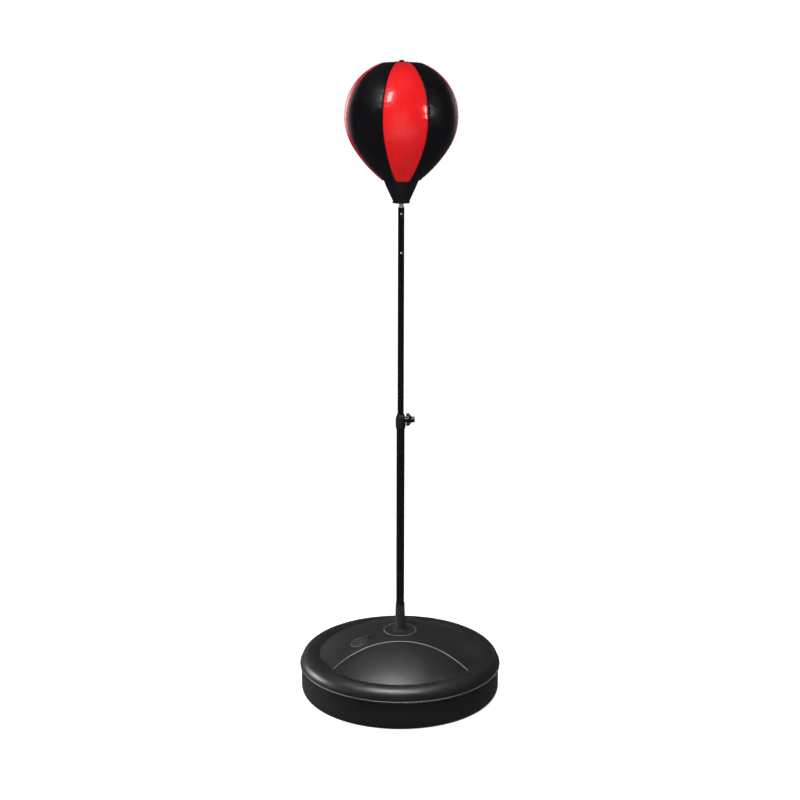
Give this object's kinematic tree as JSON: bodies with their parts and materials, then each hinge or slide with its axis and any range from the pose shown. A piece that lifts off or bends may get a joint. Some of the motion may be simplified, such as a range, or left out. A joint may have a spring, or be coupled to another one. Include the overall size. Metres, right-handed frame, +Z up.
{
  "type": "free-standing punch ball",
  "caption": "Sprung punch ball on a telescopic pole with a clamp knob, standing on a round base that is filled with water or sand.",
  "frame": {"origin": "middle of the base's underside, on the floor", "axes": "+Z up along the pole, -Y to the front with the sunken base panel, +X along the clamp knob"},
  "size_m": [0.429, 0.429, 1.32],
  "materials": {
    "base_shell": "satin",
    "collar_grip": "satin",
    "black_moulding": "satin",
    "stopper_rubber": "matte",
    "pole_paint": "gloss",
    "bright_steel": "satin",
    "slug_brass": "satin",
    "bush_nylon": "satin",
    "ballast": "satin",
    "bladder_rubber": "matte",
    "red_vinyl": "gloss",
    "black_vinyl": "gloss"
  },
  "bodies": {
    "stand_base": {"base_pan": "base_shell", "base_cover": "base_shell", "water_ballast": "ballast", "socket_flange": "base_shell", "socket_collar": "collar_grip", "collar_seal": "black_moulding", "lower_tube": "pole_paint", "lower_tube_plug": "black_moulding", "clamp_body": "black_moulding", "clamp_nut": "bright_steel"},
    "stopper": {"filler_stopper": "stopper_rubber"},
    "clamp_slug": {"clamp_slug": "slug_brass"},
    "clamp_knob": {"clamp_screw": "bright_steel", "clamp_knob": "black_moulding", "knob_cap": "black_moulding"},
    "pole_slide": {"guide_bush": "bush_nylon"},
    "upper_pole": {"upper_tube": "pole_paint", "spring_seat": "bright_steel", "seat_pins": "bright_steel"},
    "neck_spring": {"coil_spring": "bright_steel"},
    "ball": {"ball_anchor": "black_moulding", "bladder": "bladder_rubber", "bladder_valve": "stopper_rubber", "crown_patch": "black_vinyl", "neck_cuff": "black_vinyl", "cuff_band": "black_vinyl", "panel_1_red": "red_vinyl", "panel_2_black": "black_vinyl", "panel_3_red": "red_vinyl", "panel_4_black": "black_vinyl", "panel_5_red": "red_vinyl", "panel_6_black": "black_vinyl", "panel_7_red": "red_vinyl", "panel_8_black": "black_vinyl"}
  },
  "joints": [
    {"name": "height_slide", "type": "slide", "parent": "stand_base", "child": "pole_slide", "axis": [0, 0, 1], "range_m": [-0.43, 0]},
    {"name": "pole_turn", "type": "hinge", "parent": "pole_slide", "child": "upper_pole", "pos_m": [0, 0, 0.56], "axis": [0, 0, 1], "continuous": true},
    {"name": "spring_sway_front", "type": "hinge", "parent": "upper_pole", "child": "neck_spring", "pos_m": [0, 0, 1.045], "axis": [1, 0, 0], "range_deg": [-30, 30], "stiffness_Nm_per_rad": 6},
    {"name": "spring_sway_side", "type": "hinge", "parent": "neck_spring", "child": "ball", "pos_m": [0, 0, 1.045], "axis": [0, 1, 0], "range_deg": [-30, 30], "stiffness_Nm_per_rad": 6, "deforming": ["coil_spring"]},
    {"name": "slug_slide", "type": "slide", "parent": "stand_base", "child": "clamp_slug", "axis": [1, 0, 0], "range_m": [0, 0.0012]},
    {"name": "knob_turn", "type": "hinge", "parent": "clamp_slug", "child": "clamp_knob", "pos_m": [0.02, 0, 0.597], "axis": [1, 0, 0], "range_deg": [0, 540]},
    {"name": "stopper_pull", "type": "slide", "parent": "stand_base", "child": "stopper", "axis": [-0.2736, -0.1226, 0.954], "range_m": [0, 0.03]}
  ],
  "couplings": [
    {"joint": "knob_turn", "follows": "slug_slide", "rad_per_m": 7854}
  ]
}
